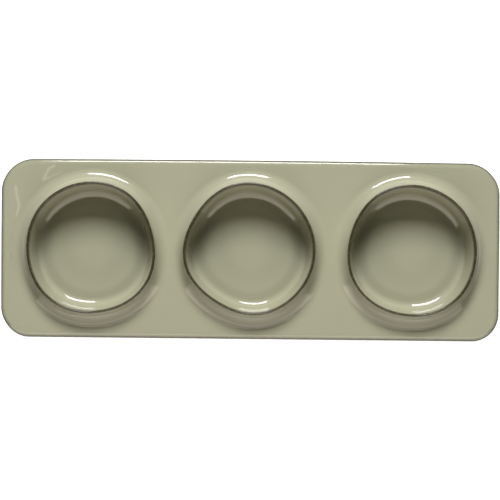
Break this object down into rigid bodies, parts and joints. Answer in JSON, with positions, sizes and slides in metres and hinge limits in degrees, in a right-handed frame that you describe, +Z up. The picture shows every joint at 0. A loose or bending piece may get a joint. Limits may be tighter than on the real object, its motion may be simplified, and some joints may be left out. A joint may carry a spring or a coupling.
{
  "type": "relish tray",
  "caption": "Long glazed stoneware tray: a thick deck with rounded corners carries a row of round bowls, let through it on foot rings and coved to it, for relishes and dips.",
  "frame": {"origin": "on the table, under the middle of the deck's box", "axes": "+X along the tray to the right, +Y across it to the back, +Z up out of the bowls"},
  "size_m": [0.3556, 0.1274, 0.0325],
  "materials": {
    "glaze": "gloss sage green glaze, breaking to olive brown on the rims",
    "bare_clay": "unglazed, wiped smooth"
  },
  "bodies": {
    "root": {"deck": "glaze", "left_bowl": "glaze", "middle_bowl": "glaze", "right_bowl": "glaze", "left_cove": "glaze", "middle_cove": "glaze", "right_cove": "glaze", "left_under_coil": "glaze", "middle_under_coil": "glaze", "right_under_coil": "glaze", "left_foot_ring": "bare_clay", "middle_foot_ring": "bare_clay", "right_foot_ring": "bare_clay"}
  },
  "joints": []
}
